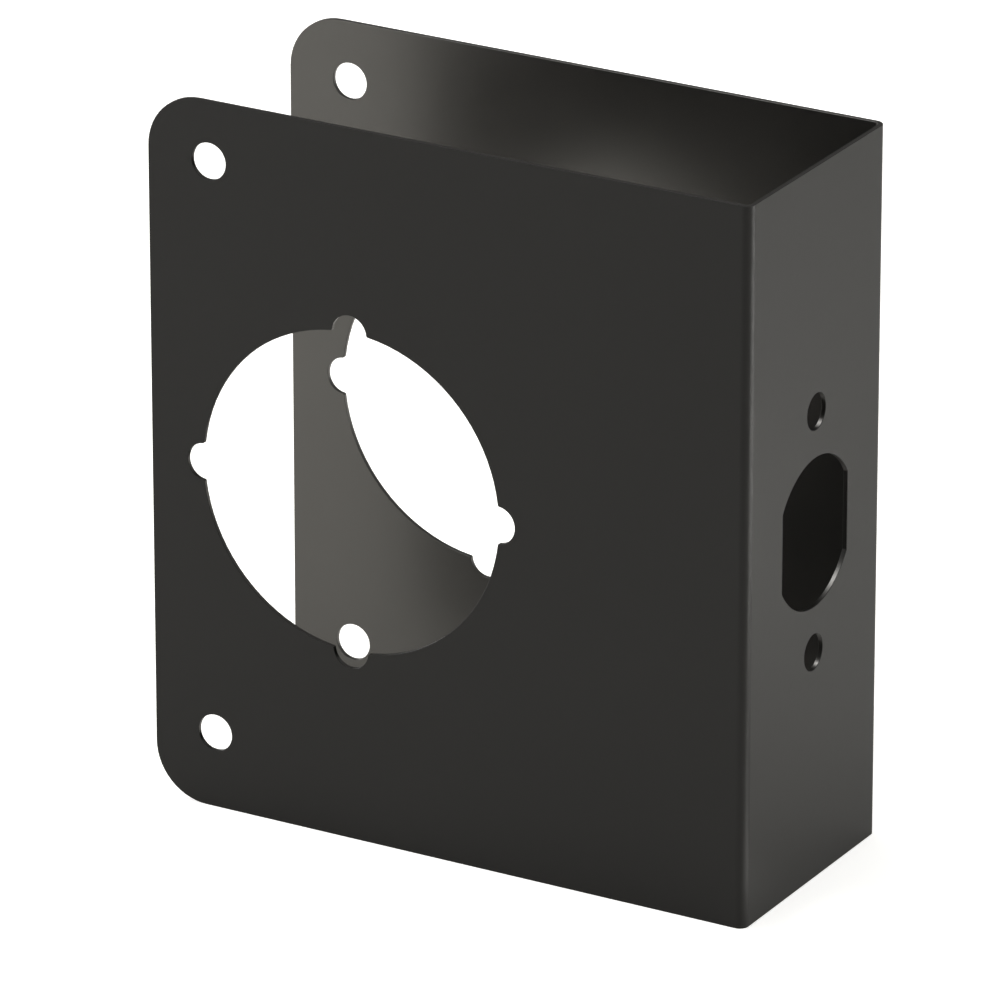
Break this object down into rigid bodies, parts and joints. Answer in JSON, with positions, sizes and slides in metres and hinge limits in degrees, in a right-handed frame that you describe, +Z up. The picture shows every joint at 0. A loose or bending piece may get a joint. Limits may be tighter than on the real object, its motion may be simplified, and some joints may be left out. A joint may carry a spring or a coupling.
{
  "type": "door repair plate",
  "caption": "Folded sheet-metal plate that wraps the edge of a door round a bored lock, with a lobed lock bore, a flat-sided latch hole and screw holes.",
  "frame": {"origin": "centre of the lock bore, midway through the door's thickness", "axes": "+X along the flanges towards the door's edge and the web, +Y across the door's thickness, +Z up"},
  "size_m": [0.108, 0.0442, 0.1206],
  "materials": {
    "black_coated_steel": "smooth satin black powder coat on steel"
  },
  "bodies": {
    "root": {"wrap_plate": "black_coated_steel"}
  },
  "joints": []
}
